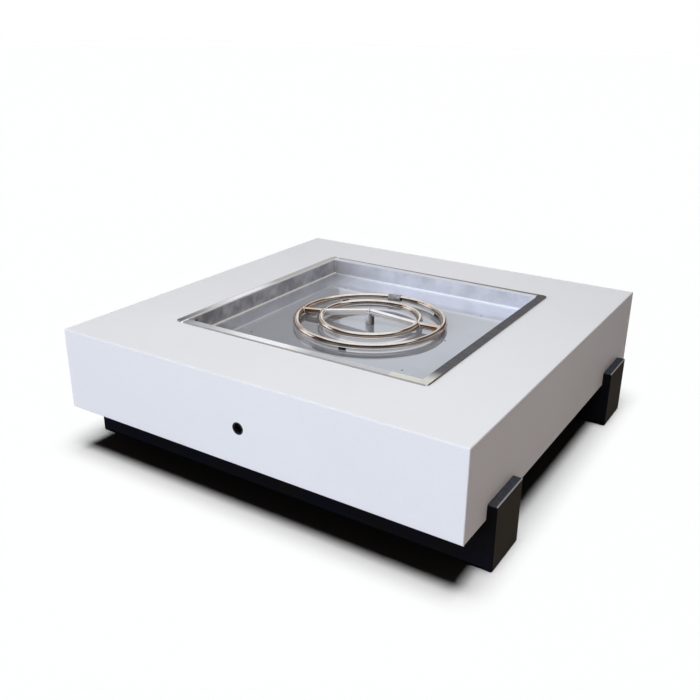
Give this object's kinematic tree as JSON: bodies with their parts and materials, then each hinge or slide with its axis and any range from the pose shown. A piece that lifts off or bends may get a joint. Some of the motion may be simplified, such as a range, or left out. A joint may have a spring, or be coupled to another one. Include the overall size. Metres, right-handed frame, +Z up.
{
  "type": "gas fire pit",
  "caption": "Low square gas fire pit: white steel housing on black cradle legs, with a recessed stainless burner pan, concentric ring burner and front key valve.",
  "frame": {"origin": "on the ground under the middle of the housing's plan", "axes": "+X to the right along the front with the key hole, +Y from the front to the back, +Z up"},
  "size_m": [1.056, 1.016, 0.308],
  "materials": {
    "white_paint": "satin powder coat",
    "black_paint": "satin powder coat",
    "pan_steel": "bright rolled stainless",
    "tube_steel": "polished stainless tube, heat tinted at its welds",
    "sleeve_steel": "dull brushed",
    "dark_steel": "dark scale",
    "zinc": "zinc plated",
    "cast_iron": "galvanised casting",
    "hose_steel": "satin stainless",
    "brass": "turned",
    "seal": "plain white seal",
    "black_rubber": "matt"
  },
  "bodies": {
    "fire_pit": {"top_panel": "white_paint", "front_panel": "white_paint", "rear_panel": "white_paint", "left_panel": "white_paint", "right_panel": "white_paint", "front_leg_beam": "black_paint", "rear_leg_beam": "black_paint", "front_left_upright": "black_paint", "front_right_upright": "black_paint", "rear_left_upright": "black_paint", "rear_right_upright": "black_paint", "burner_pan": "pan_steel", "outer_ring": "tube_steel", "inner_ring": "tube_steel", "left_spoke": "tube_steel", "right_spoke": "tube_steel", "left_stub": "tube_steel", "right_stub": "tube_steel", "riser_pipe": "tube_steel", "ring_sleeve": "sleeve_steel", "burner_feet": "dark_steel", "leg_bolts": "zinc", "leg_washers": "zinc", "leg_rivet_nuts": "zinc", "riser_washer": "zinc", "riser_locknut": "zinc", "neck_locknut": "zinc", "valve_bracket": "zinc", "bracket_screws": "zinc", "bracket_nuts": "zinc", "burner_elbow": "cast_iron", "gas_hose": "hose_steel", "air_mixer": "brass", "burner_hose_nut": "brass", "valve_hose_nut": "brass", "outlet_elbow": "brass", "inlet_fitting": "brass", "valve_body": "brass", "valve_retainer": "brass", "packing_nut": "brass", "valve_seats": "seal", "stem_packing": "seal", "foot_pads": "black_rubber", "key_bushing": "black_rubber"},
    "key_stem": {"valve_stem": "hose_steel", "valve_ball": "hose_steel"}
  },
  "joints": [
    {"name": "key_turn", "type": "hinge", "parent": "fire_pit", "child": "key_stem", "pos_m": [0, -0.44, 0.1957], "axis": [0, -1, 0], "range_deg": [0, 90]}
  ]
}
